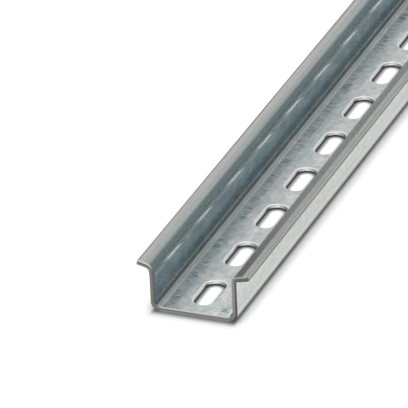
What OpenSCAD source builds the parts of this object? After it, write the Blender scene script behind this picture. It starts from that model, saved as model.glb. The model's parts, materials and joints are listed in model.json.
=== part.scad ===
// Top-hat mounting rail, 35 mm wide and 15 mm high, roll-formed from one strip
// of galvanised sheet with a row of slots punched along its base.
//
// The rail lies on its base. Y runs along the rail, X across it, Z upwards.
// The origin is at the middle of the rail, on the underside of the base.

/* [Rail] */
// Length of the rail, a whole number of slot pitches
rail_length = 1000; // [100:25:2000]
// Width over the edges of the two lips, which the devices clip onto
rail_width = 35; // [33:0.5:40]
// Width over the outsides of the two walls
channel_width = 27; // [24:0.5:28]
// Height of the lips' upper face above the underside, in line with a wall's outside
rail_height = 15; // [10:0.5:25]

/* [Strip and bends] */
// Thickness of the sheet
sheet = 1.5; // [1:0.1:2.3]
// Inside radius of the bend between base and wall
base_bend_radius = 1.3; // [0.5:0.1:2.5]
// Inside radius of the bend between wall and lip
lip_bend_radius = 1; // [0.5:0.1:2]
// Angle at which each lip rises towards its edge
lip_rise = 13; // [0:1:20]

/* [Slots] */
// Length of a slot over its round ends
slot_length = 15; // [10:0.5:20]
// Width of a slot
slot_width = 6.2; // [4:0.1:8]
// Distance from the middle of one slot to the middle of the next
slot_pitch = 25; // [25:5:50]

/* [Hidden] */
$fn = 64;

// Half widths, the stations across the section
half_channel = channel_width / 2;
half_rail = rail_width / 2;

// Base bend: its outside radius, and where its centre lies
base_bend_outside = base_bend_radius + sheet;
base_bend_x = half_channel - base_bend_outside;
base_bend_z = base_bend_outside;

// Lip bend: it turns by the angle that is left between the wall and the lip
lip_bend_outside = lip_bend_radius + sheet;
lip_bend_turn = 90 - lip_rise;
lip_bend_x = half_channel + lip_bend_radius;
lip_bend_z = rail_height - (lip_bend_outside - lip_bend_radius * sin(lip_rise)) / cos(lip_rise);

// Flat run of a lip, from the bend to the sheared edge
lip_run = (half_rail - lip_bend_x + lip_bend_radius * sin(lip_rise)) / cos(lip_rise);

// Slots stand half a pitch in from each end
slot_count = floor(rail_length / slot_pitch);
slot_first = -slot_pitch * (slot_count - 1) / 2;

// Cutters reach this far past what they cut
past = 1;
// Side of the squares that trim a bend, larger than any bend
trim = 4 * (max(base_bend_outside, lip_bend_outside) + past);

// Everything to the right of the Y axis, as far as a bend reaches
module right_side() {
    translate([0, -trim / 2])
        square(trim);
}

// Sheet bent about the origin: it leaves the -X axis, where the wall ends, and turns clockwise
module bend(inside, turn) {
    difference() {
        circle(r = inside + sheet);
        circle(r = inside);
        rotate(-90)
            right_side();
        rotate(90 - turn)
            right_side();
    }
}

// Right-hand half of the section, from the middle of the base to the edge of the lip
module half_section() {
    square([base_bend_x, sheet]);
    translate([base_bend_x, base_bend_z])
        rotate(180)
            bend(base_bend_radius, 90);
    translate([half_channel - sheet, base_bend_z])
        square([sheet, lip_bend_z - base_bend_z]);
    translate([lip_bend_x, lip_bend_z]) {
        bend(lip_bend_radius, lip_bend_turn);
        rotate(lip_rise)
            translate([0, lip_bend_radius])
                square([lip_run, sheet]);
    }
}

// Whole section of the formed strip
module section() {
    half_section();
    mirror([1, 0])
        half_section();
}

// Outline of one slot, running along the rail
module slot() {
    straight = slot_length - slot_width;
    square([slot_width, straight], center = true);
    for (end = [-1, 1])
        translate([0, end * straight / 2])
            circle(d = slot_width);
}

// The row of slots, as cutters through the base
module slot_row() {
    for (i = [0 : slot_count - 1])
        translate([0, slot_first + i * slot_pitch, -past])
            linear_extrude(height = sheet + 2 * past)
                slot();
}

// Formed and punched rail
module rail() {
    color("silver")
        difference() {
            translate([0, rail_length / 2, 0])
                rotate([90, 0, 0])
                    linear_extrude(height = rail_length)
                        section();
            slot_row();
        }
}

rail();
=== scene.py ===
import json
import math

import bmesh
import bpy
from mathutils import Matrix, Vector


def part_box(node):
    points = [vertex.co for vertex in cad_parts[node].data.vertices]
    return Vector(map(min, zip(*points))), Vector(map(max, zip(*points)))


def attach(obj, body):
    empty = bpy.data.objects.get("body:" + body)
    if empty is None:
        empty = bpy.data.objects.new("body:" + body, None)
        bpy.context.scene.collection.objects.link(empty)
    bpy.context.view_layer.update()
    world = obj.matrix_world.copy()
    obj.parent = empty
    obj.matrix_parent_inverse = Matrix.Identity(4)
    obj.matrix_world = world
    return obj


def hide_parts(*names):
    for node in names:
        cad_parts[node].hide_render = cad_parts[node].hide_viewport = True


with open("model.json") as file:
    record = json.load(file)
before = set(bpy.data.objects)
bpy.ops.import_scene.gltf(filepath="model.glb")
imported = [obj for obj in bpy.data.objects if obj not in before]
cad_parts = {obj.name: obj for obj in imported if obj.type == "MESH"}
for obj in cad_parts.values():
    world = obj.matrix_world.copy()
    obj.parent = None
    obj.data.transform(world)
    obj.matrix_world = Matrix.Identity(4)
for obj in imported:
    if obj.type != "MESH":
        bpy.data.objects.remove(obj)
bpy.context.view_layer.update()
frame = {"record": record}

MM = 0.001

# The rail's own sizes, in metres. What the frame knows is read from it.
LOW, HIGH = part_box("rail")
HALF_WIDTH = (HIGH[0] - LOW[0]) / 2
NEAR_END = LOW[1]
FAR_END = HIGH[1]
MOUNTS = {m["name"]: m for m in frame["record"]["mounts"]}
SLOT_DIMS = MOUNTS["slot_pair_1"]["dims"]
SLOT_RADIUS = SLOT_DIMS["hole_r_mm"] * MM
SLOT_STRAIGHT = SLOT_DIMS["slot_length_mm"] * MM / 2 - SLOT_RADIUS
SLOT_PITCH = SLOT_DIMS["spacing_y_mm"] * MM

HALF_CHANNEL = 13.5 * MM
HEIGHT = 15 * MM
SHEET = 1.5 * MM
LIP_RISE = math.radians(13)
LEFT, RIGHT = -1, 1

# The bends as (inside radius, turn in degrees, steps), in the order in which the strip runs from
# the base to the lip. A bend opens out a little where the sheet sprang back from the rolls.
BASE_BENDS = ((5.0 * MM, 16, 3), (1.1 * MM, 74, 9))
LIP_BENDS = {
    LEFT: ((10.5 * MM, 10, 4), (1.5 * MM, 67, 9)),
    RIGHT: ((0.4 * MM, 77, 11),),
}

# How finely the slots and the sheared edges are cut into faces
SLOT_SIDE_STEPS = 7
SLOT_END_STEPS = 12
EDGE_STEPS = 3
QUARTER_TURN = [math.pi / 2 * i / EDGE_STEPS for i in range(EDGE_STEPS + 1)]

# What the tools leave: small corners along a lip's sheared edge, the upper edge rolled over at
# the slots and at the cut ends, and a lower edge that is only just broken
SHEARED_CORNER = 0.12 * MM
SLOT_ROLL_WIDE = 0.65 * MM
SLOT_ROLL_DEEP = 0.28 * MM
END_ROLL = 0.25 * MM
BURR_CORNER = 0.05 * MM

# Vertices nearer than GRID metres are one, and edges bent more than SHARP_FROM stay sharp
GRID = 1e-7
SHARP_FROM = math.radians(40)
SHEET_FACE, CUT_FACE, SLOT_FACE, LIP_EDGE = 0, 1, 2, 3

# ---------------------------------------------------------------- geometry

def direction(angle):
    return Vector((math.cos(angle), math.sin(angle)))


def bend(start, heading, radius, turn, steps):
    """Points and headings round an arc, after its start. A turn to the left counts as positive."""
    side = math.copysign(1, turn)
    centre = start + direction(heading + side * math.pi / 2) * radius
    stations = []
    for i in range(1, steps + 1):
        now = heading + turn * i / steps
        stations.append((centre - direction(now + side * math.pi / 2) * radius, now))
    return stations


def base_flat():
    """Half the width of the base's flat: what the bends leave of the channel."""
    point, heading = Vector((0, 0)), 0
    for inside, turn, steps in BASE_BENDS:
        point, heading = bend(point, heading, inside + SHEET / 2, math.radians(turn), steps)[-1]
    return HALF_CHANNEL - SHEET / 2 - point.x


BASE_FLAT = base_flat()


def half_stations(side):
    """One half of the section, drawn as the right one: (point, normal) pairs in mid-sheet.

    They run from the edge of the base's flat to the lip's edge. The normal is that of the upper
    face of the base and of the lips, which is also the channel's inner face.
    """
    line = [(Vector((BASE_FLAT, SHEET / 2)), 0)]
    for inside, turn, steps in BASE_BENDS:
        line += bend(*line[-1], inside + SHEET / 2, math.radians(turn), steps)
    lip = [line[-1]]
    for inside, turn, steps in LIP_BENDS[side]:
        lip += bend(*lip[-1], inside + SHEET / 2, -math.radians(turn), steps)
    top, heading = lip[-1]
    wanted = HEIGHT + (top.x - HALF_CHANNEL) * math.tan(LIP_RISE) - SHEET / 2 / math.cos(LIP_RISE)
    wall = Vector((0, wanted - top.y))
    line += [(point + wall, now) for point, now in lip]
    end_x = HALF_WIDTH - SHEET / 2 * math.sin(LIP_RISE)
    run = (end_x - top.x) / math.cos(LIP_RISE) - SHEARED_CORNER
    for share in (0.5, 1):
        line.append((top + wall + direction(heading) * run * share, heading))
    return [(point, direction(now + math.pi / 2)) for point, now in line]


def flat_places(stations):
    """How far each station lies from the middle of the strip before bending, in millimetres."""
    places = [BASE_FLAT / MM]
    for (a, _), (b, _) in zip(stations, stations[1:]):
        places.append(places[-1] + (b - a).length / MM)
    return places


def strip_marks(side):
    """Where a wall and its lip begin and end on the flat strip, in millimetres from its middle."""
    places = flat_places(half_stations(side))
    foot = sum(steps for _, _, steps in BASE_BENDS)
    top = foot + 1 + sum(steps for _, _, steps in LIP_BENDS[side])
    return {
        "wall_start": places[foot],
        "wall_end": places[foot + 1],
        "lip_start": places[top],
        "lip_end": places[-1],
    }


def lip_edge_profile(side):
    """A lip's sheared edge with its round corners: (point, normal) from upper to lower face."""
    point, up = half_stations(side)[-1]
    along = direction(LIP_RISE)
    flat = SHEET / 2 - SHEARED_CORNER
    turns = [(1, turn) for turn in QUARTER_TURN]
    turns += [(-1, math.pi / 2 - turn) for turn in QUARTER_TURN]
    profile = []
    for sign, turn in turns:
        out = up * sign * math.cos(turn) + along * math.sin(turn)
        profile.append((point + up * sign * flat + out * SHEARED_CORNER, out))
    return profile[1:-1]


def corner_angle():
    """How far round a slot's end the corner of its piece of the base lies."""
    return math.atan2(SLOT_PITCH / 2 - SLOT_STRAIGHT, BASE_FLAT)


def slot_middles():
    """Every slot's place along the rail. The first and the last stand half a pitch from the ends."""
    count = round((FAR_END - NEAR_END) / SLOT_PITCH)
    return [NEAR_END + (k + 0.5) * SLOT_PITCH for k in range(count)]


def within_ends(y):
    """Keeps a row off the cut ends, to leave room for their rolled edges."""
    return min(max(y, NEAR_END + END_ROLL), FAR_END - END_ROLL)


def row_offsets():
    """Where the rows of faces lie within one pitch, measured from the slot's middle."""
    corner = corner_angle()
    ups = []
    for i in range(SLOT_SIDE_STEPS + 1):
        ups.append(SLOT_STRAIGHT + BASE_FLAT * math.tan(corner * i / SLOT_SIDE_STEPS))
    return [-y for y in reversed(ups)] + ups


def row_places():
    """Every row's place along the rail."""
    rows = []
    for middle in slot_middles():
        for offset in row_offsets():
            y = within_ends(middle + offset)
            if not rows or y > rows[-1] + GRID:
                rows.append(y)
    return rows


def slot_ring():
    """Points round a slot: (point on its outline, outward direction, point on its piece's border)."""
    half_pitch = SLOT_PITCH / 2
    corner = corner_angle()
    round_end = math.pi - 2 * corner
    angles = [corner * i / SLOT_SIDE_STEPS for i in range(SLOT_SIDE_STEPS)]
    angles += [corner + round_end * i / SLOT_END_STEPS for i in range(SLOT_END_STEPS + 1)]
    angles += [math.pi - corner + corner * i / SLOT_SIDE_STEPS for i in range(1, SLOT_SIDE_STEPS + 1)]
    half = []
    for angle in angles:
        out = direction(angle)
        if corner < angle < math.pi - corner - GRID:
            far = Vector(((half_pitch - SLOT_STRAIGHT) / math.tan(angle), half_pitch))
        else:
            reach = BASE_FLAT * abs(math.tan(angle))
            far = Vector((math.copysign(BASE_FLAT, out.x), SLOT_STRAIGHT + reach))
        half.append((Vector((0, SLOT_STRAIGHT)) + out * SLOT_RADIUS, out, far))
    return half + [(-point, -out, -far) for point, out, far in half]


def slot_levels():
    """A slot's wall from the upper face down: (how far outside the slot's outline, how deep).

    None in place of the first number stands for the border of the slot's piece of the base.
    """
    levels = [(None, 0)]
    for turn in QUARTER_TURN:
        wide = SLOT_ROLL_WIDE * (1 - math.sin(turn))
        levels.append((wide, SLOT_ROLL_DEEP * (1 - math.cos(turn))))
    levels += [(0, SHEET / 2), (0, SHEET - BURR_CORNER), (BURR_CORNER, SHEET), (None, SHEET)]
    return levels


class RailMesh:
    """Builds the formed strip as one closed mesh, of quads but for the ends of the lips.

    Each vertex keeps how deep it lies in the sheet, from 0 on the upper face to 1 on the lower
    one, and how far across the flat strip it was before bending, in millimetres. An outline is
    a list of (x, z, normal, depth, across).
    """

    def __init__(self):
        self.bm = bmesh.new()
        self.depth = self.bm.verts.layers.float.new("depth")
        self.across = self.bm.verts.layers.float.new("across")
        self.known = {}
        self.rows = row_places()

    def vertex(self, x, y, z, depth, across):
        key = (round(x / GRID), round(y / GRID), round(z / GRID))
        if key not in self.known:
            vert = self.bm.verts.new((x, y, z))
            vert[self.depth] = depth
            vert[self.across] = across
            self.known[key] = vert
        return self.known[key]

    def face(self, corners, material):
        if len(set(corners)) == len(corners):
            face = self.bm.faces.new(corners)
            face.material_index = material
            face.smooth = True

    def band(self, one, two, material):
        """Quads between two lines of vertices of the same length."""
        for i in range(len(one) - 1):
            self.face([one[i], two[i], two[i + 1], one[i + 1]], material)

    def half_outline(self, side):
        """The outline of one side, from the base's upper flat round the lip to the lower flat."""
        stations = half_stations(side)
        places = flat_places(stations)
        edge = lip_edge_profile(side)
        half = [(p + n * SHEET / 2, n, 0, s) for (p, n), s in zip(stations, places)]
        for i, (p, n) in enumerate(edge):
            half.append((p, n, (i + 1) / (len(edge) + 1), places[-1]))
        for (p, n), s in zip(reversed(stations), reversed(places)):
            half.append((p - n * SHEET / 2, -n, 1, s))
        return [(side * p.x, p.y, Vector((side * n.x, n.y)), d, side * s) for p, n, d, s in half]

    def add_side(self, side):
        """A bend, a wall and a lip, with both faces and the lip's edge."""
        lines, depths = [], []
        for x, z, _, depth, across in self.half_outline(side):
            lines.append([self.vertex(x, y, z, depth, across) for y in self.rows])
            depths.append(depth)
        for i in range(len(lines) - 1):
            material = SHEET_FACE if depths[i] == depths[i + 1] else LIP_EDGE
            self.band(lines[i], lines[i + 1], material)

    def add_slots(self):
        """The base's two faces round every slot, and the slots' walls."""
        ring = slot_ring()
        ring.append(ring[0])
        for middle in slot_middles():
            loops = []
            for grow, drop in slot_levels():
                loop = []
                for point, out, far in ring:
                    at = far if grow is None else point + out * grow
                    y = within_ends(middle + at.y)
                    loop.append(self.vertex(at.x, y, SHEET - drop, drop / SHEET, at.x / MM))
                loops.append(loop)
            for i in range(len(loops) - 1):
                flat = i in (0, len(loops) - 2)
                self.band(loops[i], loops[i + 1], SHEET_FACE if flat else SLOT_FACE)

    def end_outline(self, end_row):
        """The whole section's outline at an end, with the base's own vertices in it."""
        left = self.half_outline(LEFT)[::-1]
        xs = sorted({v.co.x for v in self.known.values()
                     if abs(v.co.y - end_row) < GRID and abs(v.co.x) < BASE_FLAT - GRID})
        upper = [(x, SHEET, Vector((0, 1)), 0, x / MM) for x in xs]
        lower = [(x, 0, Vector((0, -1)), 1, x / MM) for x in reversed(xs)]
        half = len(left) // 2
        return left[half:] + upper + self.half_outline(RIGHT) + lower + left[:half]

    def add_end(self, end, inward):
        """Rolls the upper edge of a cut end over, breaks the lower one, and closes the face."""
        start = end + inward * END_ROLL
        outline = self.end_outline(start)
        lines = [[self.vertex(x, start, z, d, s) for x, z, _, d, s in outline]]
        for turn in QUARTER_TURN[1:]:
            line = []
            for x, z, n, d, s in outline:
                roll = END_ROLL + (BURR_CORNER - END_ROLL) * d
                sink = roll * (1 - math.cos(turn))
                y = end + inward * END_ROLL * (1 - math.sin(turn))
                line.append(self.vertex(x - n.x * sink, y, z - n.y * sink, d, s))
            lines.append(line)
        for one, two in zip(lines, lines[1:]):
            self.band(one + one[:1], two + two[:1], CUT_FACE)
        self.close_end(lines[-1])

    def close_end(self, line):
        """Quads from the upper edge of a cut face to the lower one, and one face at each lip's edge."""
        line = sorted(line, key=lambda v: (v[self.across], v[self.depth]))
        uppers = [v for v in line if v[self.depth] == 0]
        lowers = [v for v in line if v[self.depth] == 1]
        for i in range(len(uppers) - 1):
            self.face([uppers[i], uppers[i + 1], lowers[i + 1], lowers[i]], CUT_FACE)
        for side, last in ((LEFT, 0), (RIGHT, -1)):
            lip = [v for v in line if 0 < v[self.depth] < 1 and v[self.across] * side > 0]
            self.face([uppers[last]] + lip + [lowers[last]], CUT_FACE)

    def finish(self, name):
        """Turns the faces outwards, marks the sharp edges and hands the mesh over."""
        bmesh.ops.recalc_face_normals(self.bm, faces=self.bm.faces)
        for edge in self.bm.edges:
            edge.smooth = edge.calc_face_angle(0) < SHARP_FROM
        mesh = bpy.data.meshes.new(name)
        self.bm.to_mesh(mesh)
        self.bm.free()
        return mesh


def build_rail():
    maker = RailMesh()
    for side in (LEFT, RIGHT):
        maker.add_side(side)
    maker.add_slots()
    maker.add_end(NEAR_END, 1)
    maker.add_end(FAR_END, -1)
    rail = bpy.data.objects.new("rail_sheet", maker.finish("rail_sheet"))
    bpy.context.collection.objects.link(rail)
    weigh = rail.modifiers.new("flat_faces_stay_flat", "WEIGHTED_NORMAL")
    weigh.mode = "FACE_AREA"
    weigh.weight = 100
    weigh.keep_sharp = True
    return rail


rail = build_rail()


# ---------------------------------------------------------------- materials

# Colours of the zinc: of the whole sheet, of its outer faces, of the lips and of the marks, with
# painted highlights, reflections and shade among them
ZINC_LIGHT = (0.64, 0.655, 0.65, 1)
ZINC_DARK = (0.53, 0.56, 0.56, 1)
ZINC_BLUE = (0.46, 0.56, 0.565, 1)
ZINC_DRY = (0.55, 0.545, 0.525, 1)
# A painted highlight along the foot of the outer faces, and painted shade below it
FOOT_GLINT = (0.66, 0.66, 0.65, 1)
FOOT_SHADE = (0.40, 0.40, 0.39, 1)
LIP_WARM = (0.50, 0.495, 0.48, 1)
# A painted reflection on the left lip's bend
LIP_BEND_REFLECTION = (0.40, 0.43, 0.43, 1)
# Painted shade on the right lip, darker still near the near end
LIP_SHADE = (0.43, 0.45, 0.44, 1)
LIP_NEAR_END_SHADE = (0.24, 0.25, 0.245, 1)
# A painted highlight along the right lip's outer edge
LIP_PALE_HIGHLIGHT = (0.72, 0.72, 0.70, 1)
ROLL_MARK = (0.22, 0.31, 0.38, 1)

# Tints, which multiply the zinc's colour; most of them are painted light and shade
LIP_RIM = (0.66, 0.65, 0.64, 1)
BASE_PAINTED_LIGHT = (1.25, 1.20, 1.19, 1)
BEND_PALE = (1.34, 1.27, 1.25, 1)
BEND_SHADE = (0.64, 0.61, 0.60, 1)
# Painted shade in the left wall's crease, low on it and high on it, and a painted dark reflection over
# the wall
FOOT_LINE_SHADE = (0.42, 0.38, 0.36, 1)
WALL_DARK_REFLECTION = (0.50, 0.63, 0.70, 1)
WALL_LOW_SHADE = (0.47, 0.51, 0.51, 1)
WALL_HIGH_SHADE = (0.74, 0.80, 0.84, 1)

# Colours of the cut ends, with a painted highlight and painted light, of the lips' slit edges and of
# the slots' walls, whose dark part is partly painted shade
CUT_GREY = (0.30, 0.30, 0.29, 1)
CUT_DULL = (0.20, 0.20, 0.195, 1)
CUT_RIM_HIGHLIGHT = (0.70, 0.70, 0.69, 1)
CUT_TORN = (0.09, 0.09, 0.085, 1)
CUT_LOW_LIGHT = (0.62, 0.62, 0.61, 1)
EDGE_LIGHT = (0.38, 0.38, 0.37, 1)
EDGE_DARK = (0.24, 0.24, 0.235, 1)
SLOT_BRIGHT = (0.85, 0.85, 0.84, 1)
SLOT_TORN_AND_SHADE = (0.13, 0.13, 0.13, 1)

# Grains of the zinc: changes a millimetre across the strip and along it, detail, and roughness.
# The lower face's pattern is moved off the upper one's.
CLOUDS = (0.16, 0.09, 3, 0.6)
PATCHES = (0.3, 0.16, 2, 0.5)
BLOTCHES = (0.5, 0.4, 3, 0.6)
BRUSHED = (5.0, 0.014, 3, 0.6)
FINE = (1.6, 0.7, 3, 0.65)
STROKES = (0.3, 1.3, 3, 0.6)
MOVED_UNDER = 40

# How a grain turns into a share or a tone: two of its values, and what they turn into, which is
# 0 and 1 where nothing else is stated
HALF_WAY = (0.35, 0.65)
BLUE_PATCHES = (0.62, 0.42, 0, 0.5)
UNDER_FINE = (0.35, 0.65, 0.92, 1.06)
UNDER_BLOTCHES = (0.35, 0.65, 0.92, 1.05)
BASE_BLOTCHES = (0.35, 0.65, 0.88, 1.09)
WALL_PATCHES = (0.35, 0.65, 0.91, 1.09)
LIP_SPECKS = (0.3, 0.7, 0.93, 1.07)
MARK_STROKES = (0.44, 0.62)
MARK_CLOUDS = (0.38, 0.60, 0.15, 1.0)
STREAK_VALUES = (0.25, 0.75)
STREAK_DARK, STREAK_DARK_LIP = 0.86, 0.78
STREAK_LIGHT, STREAK_LIGHT_LIP = 1.12, 1.18

# From which depth to which the sheet passes from its upper face's look to its lower one's
UPPER_TO, LOWER_FROM = 0.4, 0.6

# Zones of the flat strip, in millimetres from its middle, as (start, full, full, end), or as
# (start, full) where a zone has no other end. The base's own zone has the middle inside it.
BASE_ZONE = (-2, -1, 9.2, 10.4)
MARK_ZONE = (6.2, 7.6, 9.4, 10.2)
WALL_ZONE = (14.5, 15.3, 21.5, 22.4)
LOW_WALL_SHADE_ZONE = (14.4, 15.2, 16.6, 18.8)
# The bends' tints: a grey one, painted shade in the bend, and a pale one
BEND_TINTS = (
    ((10.9, 11.4, 12.0, 12.4), BEND_SHADE),
    ((9.5, 10.1, 10.9, 11.4), BEND_PALE),
)
# The left wall's tints: painted shade in the crease at its foot, a painted dark reflection over the
# wall, and painted shade high on it
LEFT_WALL_TINTS = (
    ((12.3, 12.7, 13.2, 13.9), FOOT_LINE_SHADE),
    (WALL_ZONE, WALL_DARK_REFLECTION),
    ((22.2, 22.8, 23.6, 24.4), WALL_HIGH_SHADE),
)
# Where the painted highlight and the painted shade lie on the outer faces
UNDER_GLINT_ZONE = (13.8, 14.2, 14.7, 15.2)
UNDER_SHADE_ZONE = (13.8, 13.2)

# The same, measured from the place where a lip begins or ends
WARM_FROM = (-1.2, -0.2)
LIP_BEND_REFLECTION_ZONE = (-2.6, -1.2, 0.2, 1.3)
RIM_FROM = (-0.7, -0.2)
RIGHT_LIP_FROM = (-0.8, 0)
PALE_HIGHLIGHT_FROM = (-2.0, -1.4)

# How far from the near end the right lip's painted shade stays darker and the painted shade at the foot
# of the left wall weaker
NEAR_LIP = 50
NEAR_WALL = 40
NEAR_WALL_SHARE = 0.3

# Shares of the full look, and by how many millimetres the fine grain, which runs from 0 to 1,
# ruffles the border of the roll marks
DRY_SHARE = 0.75
LIP_SHARE = 0.9
MARK_RUFFLE = 2.5

# Roughness of the zinc, and what each zone adds to it
ROUGH = 0.13
ROUGH_BASE = 0.30
ROUGH_LIPS = 0.10
ROUGH_UNDER = 0.2
ROUGH_RIGHT_WALL = 0.6
ROUGH_LEFT_WALL = 0.14
ROUGH_FINE = (0.3, 0.7, -0.02, 0.03)
FLAT_FROM = (11.2, 10.2)
LEFT_FOOT_FROM = (12.5, 14.5)
LEFT_WALL_TO = (22.0, 20.8)
LEFT_BEND_FROM = (23.4, 24.2)
RIGHT_WALL_START, RIGHT_WALL_END = (-1, 1), (0, 2)

# Relief of the zinc: brushed lines, the fine grain, weaker on lips and walls, and the strokes
RELIEF = 0.3
RELIEF_DEEP = 0.02 * MM
BRUSHED_RELIEF = 0.6
GRAIN_RELIEF, GRAIN_RELIEF_SMOOTH = 0.25, 0.05
STROKE_RELIEF = 1.2
SMOOTH_FROM = (12, 14)

# The cut ends: zones in millimetres across the flat strip, and depths from 0 to 1 in the sheet
TORN_RATE = 1.5
CUT_NOISE = (3.0, 3, 0.6)
CUT_RAGGED = (0.2, 0.8, -0.12, 0.12)
CUT_BASE = (-12, -10, 10, 12)
CUT_LIPS = (24, 26)
CUT_LEFT_WALL = (-24.5, -23.5, -14, -12)
CUT_LEFT_WALL_SHARE = 0.4
CUT_LEFT_FROM, CUT_RIGHT_FROM = (-11, -13), (11, 13)
CUT_LEFT_DEPTH, CUT_LEFT_SHARE = (0.45, 0.25), 0.55
CUT_RIGHT_DEPTH = (0.45, 0.70)
CUT_LIP_LINE = (0.12, 0.26, 0.42, 0.6)
# Depths of the painted light low on the base's cut and of the painted highlight along the upper edge,
# and how strong that highlight is across the strip
CUT_LOW_LIGHT_DEPTH = (0.2, 0.9)
CUT_HIGHLIGHT_DEPTH = (0.06, 0.02)
CUT_HIGHLIGHT_SHARE = (24, 25, 0.9, 0.3)
CUT_ROUGH = (0.2, 0.8, 0.4, 0.6)

# The slots' walls: burnished down to a ragged line, which lies deeper at the round ends, and dark below
# it, torn metal that is also painted shade
SLOT_NOISE = (2.0, 3, 0.6)
SLOT_RAGGED = (0.2, 0.8, -0.1, 0.1)
SLOT_BURNISHED = (0.36, 0.56)
SLOT_END_DEEPER = 0.2
SLOT_END_FACING = (0.3, 0.8)
SLOT_ROUGH = (0.4, 0.6, 0.3, 0.7)

# The lips' slit edges: lines drawn along the rail, and a dark line along the lower half
DRAWN_NOISE = (1, 3, 0.6)
DRAWN_ACROSS, DRAWN_ALONG = 30, 0.1
DRAWN_VALUES = (0.3, 0.7)
EDGE_LINE = (0.505, 0.535)
EDGE_LINE_SHARE = 0.8
EDGE_ROUGH = (0.3, 0.7, 0.3, 0.45)


class Nodes:
    """A short way to write a node tree: each call adds nodes and returns an output."""

    def __init__(self, tree):
        self.tree = tree

    def add(self, kind, **settings):
        node = self.tree.nodes.new(kind)
        for key, value in settings.items():
            setattr(node, key, value)
        return node

    def join(self, value, socket):
        if isinstance(value, bpy.types.NodeSocket):
            self.tree.links.new(value, socket)
        else:
            socket.default_value = value

    def math(self, operation, *values):
        node = self.add("ShaderNodeMath", operation=operation)
        for value, socket in zip(values, node.inputs):
            self.join(value, socket)
        return node.outputs[0]

    def times(self, first, *others):
        for value in others:
            first = self.math("MULTIPLY", first, value)
        return first

    def plus(self, first, *others):
        for value in others:
            first = self.math("ADD", first, value)
        return first

    def ramp(self, value, low, high, start=0.0, end=1.0):
        """start where value is at low, end where it is at high, smooth between, flat outside."""
        node = self.add("ShaderNodeMapRange", interpolation_type="SMOOTHSTEP")
        self.join(value, node.inputs["Value"])
        if low > high:
            low, high, start, end = high, low, end, start
        self.join(low, node.inputs["From Min"])
        self.join(high, node.inputs["From Max"])
        self.join(start, node.inputs["To Min"])
        self.join(end, node.inputs["To Max"])
        return node.outputs["Result"]

    def between(self, value, start, full, last, end):
        """1 where value lies from full to last, falling to 0 at start and end."""
        return self.times(self.ramp(value, start, full), self.ramp(value, end, last))

    def mix(self, factor, a, b, blend="MIX"):
        node = self.add("ShaderNodeMix", data_type="RGBA", blend_type=blend)
        self.join(factor, node.inputs["Factor"])
        self.join(a, node.inputs["A"])
        self.join(b, node.inputs["B"])
        return node.outputs["Result"]

    def tint(self, factor, colour, tint):
        return self.mix(factor, colour, tint, "MULTIPLY")

    def tone(self, factor, colour, tone):
        """Makes a colour lighter or darker without changing its hue."""
        return self.tint(factor, colour, self.vector(tone, tone, tone))

    def noise(self, vector, scale, detail, roughness):
        node = self.add("ShaderNodeTexNoise")
        self.join(vector, node.inputs["Vector"])
        node.inputs["Scale"].default_value = scale
        node.inputs["Detail"].default_value = detail
        node.inputs["Roughness"].default_value = roughness
        return node.outputs["Fac"]

    def vector(self, x, y, z):
        node = self.add("ShaderNodeCombineXYZ")
        for value, socket in zip((x, y, z), node.inputs):
            self.join(value, socket)
        return node.outputs[0]

    def parts(self, vector):
        """The X, Y and Z of a vector."""
        node = self.add("ShaderNodeSeparateXYZ")
        self.join(vector, node.inputs[0])
        return node.outputs

    def attribute(self, name):
        return self.add("ShaderNodeAttribute", attribute_name=name).outputs["Fac"]

    def place(self, name="Object"):
        """X, Y and Z of a place on the object, or of a direction in the world."""
        return self.parts(self.add("ShaderNodeTexCoord").outputs[name])


def new_material(name):
    material = bpy.data.materials.new(name)
    material.use_nodes = True
    return material, Nodes(material.node_tree), material.node_tree.nodes["Principled BSDF"]


def new_metal(name):
    material, n, shader = new_material(name)
    shader.inputs["Metallic"].default_value = 1
    return material, n, shader


def sheet_places(n):
    """Millimetres across the flat strip and along the rail, and how deep in the sheet."""
    along = n.times(n.place()["Y"], 1 / MM)
    return n.attribute("across"), along, n.attribute("depth")


class ZincMaps:
    """What the zinc's look is made from: places on the sheet, its zones and its grains."""

    def __init__(self, n):
        self.n = n
        self.across, self.along, self.depth = sheet_places(n)
        self.out = n.math("ABSOLUTE", self.across)
        self.left = n.times(self.across, -1)
        self.upper = n.ramp(self.depth, LOWER_FROM, UPPER_TO)
        self.under = n.ramp(self.depth, UPPER_TO, LOWER_FROM)
        self.clouds = self.grain(*CLOUDS)
        self.patches = self.grain(*PATCHES)
        self.blotches = self.grain(*BLOTCHES)
        self.brushed = self.grain(*BRUSHED)
        self.fine = self.grain(*FINE)
        self.strokes = self.grain(*STROKES)
        self.base = self.zone(self.out, BASE_ZONE)
        self.left_lip = self.beside(LEFT, "lip_start", WARM_FROM)
        self.right_lip = self.beside(RIGHT, "lip_start", RIGHT_LIP_FROM)
        self.lips = n.plus(self.left_lip, self.right_lip)
        ruffled = n.times(n.math("SUBTRACT", self.fine, 0.5), MARK_RUFFLE)
        self.marked = self.zone(n.plus(self.out, ruffled), MARK_ZONE)

    def grain(self, across, along, detail, roughness):
        n = self.n
        level = n.times(self.depth, MOVED_UNDER)
        place = n.vector(n.times(self.across, across), n.times(self.along, along), level)
        return n.noise(place, 1, detail, roughness)

    def zone(self, place, limits):
        """A zone of the upper face, from 0 outside it to 1 inside."""
        shape = self.n.ramp if len(limits) == 2 else self.n.between
        return self.n.times(self.upper, shape(place, *limits))

    def beside(self, side, mark, limits):
        """A zone whose limits are measured from one of the strip's marks."""
        start = strip_marks(side)[mark]
        place = self.across if side == RIGHT else self.left
        return self.zone(place, [start + limit for limit in limits])

    def near(self, reach, start=0.0):
        """From start at the near end to 1, reach millimetres from it."""
        return self.n.ramp(self.along, NEAR_END / MM, NEAR_END / MM + reach, start, 1)


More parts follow.
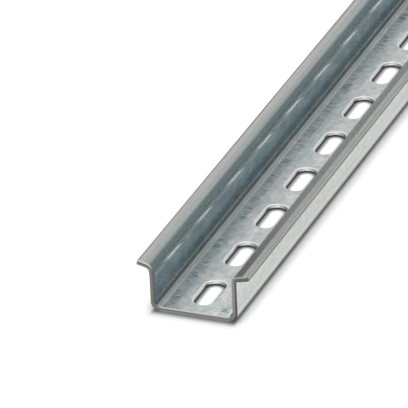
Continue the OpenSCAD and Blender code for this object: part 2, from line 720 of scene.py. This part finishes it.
def outer_faces(n, maps, colour):
    """Drier and mottled, with a pale painted highlight round the foot of the walls and painted shade
    underneath.
    """
    colour = n.mix(n.times(maps.under, DRY_SHARE), colour, ZINC_DRY)
    mottle = n.times(n.ramp(maps.fine, *UNDER_FINE), n.ramp(maps.blotches, *UNDER_BLOTCHES))
    colour = n.tone(maps.under, colour, mottle)
    # Painted highlight: a bright line round the outer foot of the walls
    glint = n.times(maps.under, n.between(maps.out, *UNDER_GLINT_ZONE))
    colour = n.mix(glint, colour, FOOT_GLINT)
    # Painted shade on the outer bend, down towards the floor
    return n.mix(n.times(maps.under, n.ramp(maps.out, *UNDER_SHADE_ZONE)), colour, FOOT_SHADE)


def lips(n, maps, colour):
    """The left lip warm with a bluish grey painted reflection on its bend and a darker outer edge, the
    right one dark with painted shade and a pale painted highlight along its outer edge.
    """
    colour = n.mix(n.times(maps.left_lip, LIP_SHARE), colour, LIP_WARM)
    # Painted reflection: a bluish grey band on the left lip's bend
    bend_reflection = n.times(maps.beside(LEFT, "lip_start", LIP_BEND_REFLECTION_ZONE), LIP_SHARE)
    colour = n.mix(bend_reflection, colour, LIP_BEND_REFLECTION)
    # Painted shade: the right lip dark, darker still near the near end
    shade = n.mix(maps.near(NEAR_LIP), LIP_NEAR_END_SHADE, LIP_SHADE)
    colour = n.mix(maps.right_lip, colour, shade)
    colour = n.tint(maps.beside(LEFT, "lip_end", RIM_FROM), colour, LIP_RIM)
    # Painted highlight: the right lip paler along its outer edge
    return n.mix(maps.beside(RIGHT, "lip_end", PALE_HIGHLIGHT_FROM), colour, LIP_PALE_HIGHLIGHT)


def base_and_walls(n, maps, colour):
    """The base paler, a painted light, its bends paler and then greyer with painted shade, and the left
    wall dark with a painted reflection, darker still towards its foot as painted shade.
    """
    # Painted light: the base made paler
    colour = n.tint(maps.base, colour, BASE_PAINTED_LIGHT)
    colour = n.tone(maps.base, colour, n.ramp(maps.blotches, *BASE_BLOTCHES))
    # A pale band and painted shade in the base's bends
    for limits, tint in BEND_TINTS:
        colour = n.tint(maps.zone(maps.out, limits), colour, tint)
    # Painted shade and a painted dark reflection on the left wall
    for limits, tint in LEFT_WALL_TINTS:
        colour = n.tint(maps.zone(maps.left, limits), colour, tint)
    # Painted shade low on the left wall, weaker near the near end
    low_wall_shade = n.times(maps.zone(maps.left, LOW_WALL_SHADE_ZONE), maps.near(NEAR_WALL, NEAR_WALL_SHARE))
    colour = n.tint(low_wall_shade, colour, WALL_LOW_SHADE)
    wall = maps.zone(maps.left, WALL_ZONE)
    return n.tone(wall, colour, n.ramp(maps.patches, *WALL_PATCHES))


def zinc_colour(n, maps):
    """Cloudy zinc, changed zone by zone, much of it with painted light and shade, then the rolls'
    marks, the specks and the brushed lines.
    """
    colour = n.mix(n.ramp(maps.clouds, *HALF_WAY), ZINC_DARK, ZINC_LIGHT)
    colour = n.mix(n.ramp(maps.patches, *BLUE_PATCHES), colour, ZINC_BLUE)
    colour = outer_faces(n, maps, colour)
    colour = lips(n, maps, colour)
    colour = base_and_walls(n, maps, colour)
    # Dark strokes across the strip, where the rolls bore hardest
    strokes = n.times(maps.marked, n.ramp(maps.strokes, *MARK_STROKES))
    colour = n.mix(n.times(strokes, n.ramp(maps.clouds, *MARK_CLOUDS)), colour, ROLL_MARK)
    colour = n.tone(maps.lips, colour, n.ramp(maps.fine, *LIP_SPECKS))
    dark = n.ramp(maps.lips, 0, 1, STREAK_DARK, STREAK_DARK_LIP)
    light = n.ramp(maps.lips, 0, 1, STREAK_LIGHT, STREAK_LIGHT_LIP)
    return n.tone(1.0, colour, n.ramp(maps.brushed, *STREAK_VALUES, dark, light))


def zinc_roughness(n, maps):
    """Duller on the base, the lips, the outer faces and the walls, but for a band on the left one."""
    flat = maps.zone(maps.out, FLAT_FROM)
    marks = strip_marks(RIGHT)
    start = [marks["wall_start"] + limit for limit in RIGHT_WALL_START]
    end = [marks["wall_end"] + limit for limit in RIGHT_WALL_END]
    right_wall = maps.zone(maps.across, start + end)
    left_wall = n.math("MAXIMUM", n.ramp(maps.left, *LEFT_WALL_TO), n.ramp(maps.left, *LEFT_BEND_FROM))
    left_wall = n.times(left_wall, maps.zone(maps.left, LEFT_FOOT_FROM))
    return n.plus(
        ROUGH,
        n.times(flat, ROUGH_BASE),
        n.times(maps.lips, ROUGH_LIPS),
        n.times(maps.under, ROUGH_UNDER),
        n.times(right_wall, ROUGH_RIGHT_WALL),
        n.times(left_wall, ROUGH_LEFT_WALL),
        n.ramp(maps.fine, *ROUGH_FINE),
    )


def zinc_relief(n, maps):
    """Lines brushed along the rail, the fine grain, and the strokes where the sheet is marked."""
    smooth = n.math("MAXIMUM", maps.lips, n.ramp(maps.out, *SMOOTH_FROM))
    grain = n.times(maps.fine, n.ramp(smooth, 0, 1, GRAIN_RELIEF, GRAIN_RELIEF_SMOOTH))
    strokes = n.times(maps.strokes, maps.marked, STROKE_RELIEF)
    bump = n.add("ShaderNodeBump")
    bump.inputs["Strength"].default_value = RELIEF
    bump.inputs["Distance"].default_value = RELIEF_DEEP
    n.join(n.plus(n.times(maps.brushed, BRUSHED_RELIEF), grain, strokes), bump.inputs["Height"])
    return bump.outputs[0]


def zinc_material():
    """Galvanised strip: cloudy zinc, brushed along the rail, with the rolls' marks across it."""
    material, n, shader = new_metal("zinc_sheet")
    maps = ZincMaps(n)
    n.join(zinc_colour(n, maps), shader.inputs["Base Color"])
    n.join(zinc_roughness(n, maps), shader.inputs["Roughness"])
    n.join(zinc_relief(n, maps), shader.inputs["Normal"])
    return material


def cut_material():
    """The sheared ends: rough grey metal, dark where the blade dragged it, with a bright upper edge
    that is a painted highlight.

    The base is paler towards its lower edge, painted light against the dark floor it reflects, and the
    highlight is weaker on the right lip.
    """
    material, n, shader = new_metal("cut_edge")
    across, along, depth = sheet_places(n)
    torn = n.noise(n.vector(across, along, n.times(depth, TORN_RATE)), *CUT_NOISE)
    where = n.plus(depth, n.ramp(torn, *CUT_RAGGED))
    base = n.between(across, *CUT_BASE)
    lips = n.ramp(n.math("ABSOLUTE", across), *CUT_LIPS)

    colour = n.mix(n.ramp(torn, *HALF_WAY), CUT_DULL, CUT_GREY)
    # Painted light: the base's cut paler towards its lower edge
    colour = n.mix(n.times(base, n.ramp(where, *CUT_LOW_LIGHT_DEPTH)), colour, CUT_LOW_LIGHT)
    left_wall = n.times(n.between(across, *CUT_LEFT_WALL), CUT_LEFT_WALL_SHARE)
    colour = n.mix(left_wall, colour, CUT_TORN)

    left = n.times(n.ramp(across, *CUT_LEFT_FROM), n.ramp(where, *CUT_LEFT_DEPTH), CUT_LEFT_SHARE)
    right = n.times(n.ramp(across, *CUT_RIGHT_FROM), n.ramp(where, *CUT_RIGHT_DEPTH))
    lip_line = n.times(lips, n.between(where, *CUT_LIP_LINE))
    dragged = n.math("MAXIMUM", n.math("MAXIMUM", left, right), lip_line)
    colour = n.mix(dragged, colour, CUT_TORN)

    # Painted highlight along the upper edge of the base's and the lips' cut
    rim_highlight = n.times(n.math("MAXIMUM", base, lips), n.ramp(depth, *CUT_HIGHLIGHT_DEPTH))
    colour = n.mix(n.times(rim_highlight, n.ramp(across, *CUT_HIGHLIGHT_SHARE)), colour, CUT_RIM_HIGHLIGHT)
    n.join(colour, shader.inputs["Base Color"])
    n.join(n.ramp(torn, *CUT_ROUGH), shader.inputs["Roughness"])
    return material


def slot_material():
    """A punched slot's wall: bright where the punch burnished it, dark where the metal tore, a darkness
    that also paints the shade low in the slot.
    """
    material, n, shader = new_metal("slot_wall")
    across, along, depth = sheet_places(n)
    torn = n.noise(n.vector(across, along, n.times(depth, TORN_RATE)), *SLOT_NOISE)
    facing = n.parts(n.add("ShaderNodeNewGeometry").outputs["True Normal"])["Y"]
    ends = n.ramp(n.math("ABSOLUTE", facing), *SLOT_END_FACING)
    where = n.plus(depth, n.ramp(torn, *SLOT_RAGGED), n.times(ends, -SLOT_END_DEEPER))
    # Below the ragged line: torn metal, painted dark enough to stand for shade as well
    n.join(n.mix(n.ramp(where, *SLOT_BURNISHED), SLOT_BRIGHT, SLOT_TORN_AND_SHADE), shader.inputs["Base Color"])
    n.join(n.ramp(where, *SLOT_ROUGH), shader.inputs["Roughness"])
    return material


def lip_edge_material():
    """The slit edge of the strip: paler than the cut ends, drawn in lines along the rail."""
    material, n, shader = new_metal("lip_edge")
    across, along, depth = sheet_places(n)
    place = n.vector(n.times(depth, DRAWN_ACROSS), n.times(along, DRAWN_ALONG), across)
    drawn = n.noise(place, *DRAWN_NOISE)
    colour = n.mix(n.ramp(drawn, *DRAWN_VALUES), EDGE_DARK, EDGE_LIGHT)
    colour = n.mix(n.times(n.ramp(depth, *EDGE_LINE), EDGE_LINE_SHARE), colour, CUT_TORN)
    n.join(colour, shader.inputs["Base Color"])
    n.join(n.ramp(drawn, *EDGE_ROUGH), shader.inputs["Roughness"])
    return material


for material in (zinc_material(), cut_material(), slot_material(), lip_edge_material()):
    rail.data.materials.append(material)
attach(rail, "root")
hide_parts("rail")

# ---------------------------------------------------------------- stage

FLOOR_HALF = 40
FLOOR_COLOUR = (0.90, 0.90, 0.90, 1)
FLOOR_SHADOW_AT_RAIL = (0.27, 0.27, 0.275, 1)
STUDIO = (0.92, 0.92, 0.92, 1)
# The floor is darker where the rail stands on it, a painted shadow, and shines a little by itself
# farther off and under the slots, painted light there. Beyond the rail's ends both changes come more
# slowly.
CONTACT_INSET = 1.2 * MM
SHADE_REACH = 1.5 * MM
END_SHADE = 0.5
LIFT_REACH = 5.0 * MM
LIFT_AWAY = 0.42
LIFT_IN_SLOT = 0.55
SLOT_FADE = 2.4 * MM

# Parts of the studio's sky: azimuth from the rail's far end towards its right side, and height
# over the floor, in degrees, each as (start, full, full, end), with the brightness there
SKY = (
    ((20, 70, 150, 180), (-90, -80, 80, 90), (1.25, 1.25, 1.25, 1)),
    ((-72, -62, -29, -24), (-6, -2, 16, 22), (0.20, 0.22, 0.21, 1)),
    ((12, 22, 62, 76), (-6, -2, 34, 44), (0.26, 0.33, 0.35, 1)),
)


def distance(n, a, b):
    return n.math("SQRT", n.plus(n.times(a, a), n.times(b, b)))


def floor_shade(n):
    """How far the floor has its full colour rather than its painted shadow, from 0 to 1, and how much
    it shines by itself.
    """
    place = n.place()
    x = n.math("ABSOLUTE", place["X"])
    y = place["Y"]
    aside = n.math("MAXIMUM", n.math("SUBTRACT", x, HALF_CHANNEL - CONTACT_INSET), 0)
    beyond = n.math("MAXIMUM", n.math("SUBTRACT", n.math("ABSOLUTE", y), FAR_END), 0)
    away = distance(n, aside, n.times(beyond, END_SHADE))

    turn = n.math("PINGPONG", n.math("SUBTRACT", y, NEAR_END), SLOT_PITCH / 2)
    from_middle = n.math("SUBTRACT", SLOT_PITCH / 2, turn)
    end = n.math("MAXIMUM", n.math("SUBTRACT", from_middle, SLOT_STRAIGHT), 0)
    in_slot = n.ramp(distance(n, x, end), SLOT_RADIUS, SLOT_RADIUS - SLOT_FADE)

    shade = n.math("MAXIMUM", n.ramp(away, 0, SHADE_REACH), in_slot)
    lift = n.ramp(away, 0, LIFT_REACH, 0, LIFT_AWAY)
    return shade, n.math("MAXIMUM", lift, n.times(in_slot, LIFT_IN_SLOT))


def add_floor():
    mesh = bpy.data.meshes.new("floor")
    h = FLOOR_HALF
    mesh.from_pydata([(-h, -h, 0), (h, -h, 0), (h, h, 0), (-h, h, 0)], [], [(0, 1, 2, 3)])
    floor = bpy.data.objects.new("floor", mesh)
    bpy.context.collection.objects.link(floor)
    material, n, shader = new_material("floor")
    shader.inputs["Roughness"].default_value = 1
    shader.inputs["Specular IOR Level"].default_value = 0
    shade, lift = floor_shade(n)
    # Painted shadow: the floor darker next to the rail and round the slots' edges
    n.join(n.mix(shade, FLOOR_SHADOW_AT_RAIL, FLOOR_COLOUR), shader.inputs["Base Color"])
    path = n.add("ShaderNodeLightPath")
    seen = n.math("MAXIMUM", path.outputs["Is Camera Ray"], path.outputs["Is Glossy Ray"])
    seen = n.math("MAXIMUM", seen, path.outputs["Is Transmission Ray"])
    shader.inputs["Emission Color"].default_value = (1, 1, 1, 1)
    # The glow that keeps the floor white fades next to the rail, painting the shadow's edge, and is
    # stronger under the slots as painted light
    n.join(n.times(seen, lift), shader.inputs["Emission Strength"])
    mesh.materials.append(material)


def add_world():
    """An even pale studio, brighter at the right, with two dark flags low behind the rail."""
    world = bpy.data.worlds.new("studio")
    world.use_nodes = True
    n = Nodes(world.node_tree)
    ray = n.place("Generated")
    azimuth = n.math("DEGREES", n.math("ARCTAN2", ray["X"], ray["Y"]))
    height = n.math("DEGREES", n.math("ARCSINE", ray["Z"]))
    colour = STUDIO
    for sweep, rise, patch in SKY:
        covered = n.times(n.between(azimuth, *sweep), n.between(height, *rise))
        colour = n.mix(covered, colour, patch)
    n.join(colour, world.node_tree.nodes["Background"].inputs["Color"])
    bpy.context.scene.world = world


add_floor()
add_world()
bpy.context.scene.view_settings.view_transform = "Standard"

# ---------------------------------------------------------------- camera

AZIMUTH = math.radians(22.7)
ELEVATION = math.radians(27.6)
ROLL = math.radians(2.5)
DISTANCE = 1.797
LENS = 534
SENSOR = 36
FARTHEST = 200
TARGET = Vector((-0.0176, NEAR_END + 0.0531, 0.0075))


def add_camera():
    flat = math.cos(ELEVATION)
    back = Vector((flat * math.sin(AZIMUTH), -flat * math.cos(AZIMUTH), math.sin(ELEVATION)))
    right = Vector((math.cos(AZIMUTH), math.sin(AZIMUTH), 0))
    up = back.cross(right)
    turned_right = right * math.cos(ROLL) - up * math.sin(ROLL)
    turned_up = right * math.sin(ROLL) + up * math.cos(ROLL)
    data = bpy.data.cameras.new("camera")
    data.sensor_width = SENSOR
    data.lens = LENS
    data.clip_end = FARTHEST
    camera = bpy.data.objects.new("camera", data)
    turn = Matrix((turned_right, turned_up, back)).transposed()
    camera.matrix_world = Matrix.Translation(TARGET + back * DISTANCE) @ turn.to_4x4()
    bpy.context.collection.objects.link(camera)
    bpy.context.scene.camera = camera


add_camera()

bpy.context.view_layer.update()
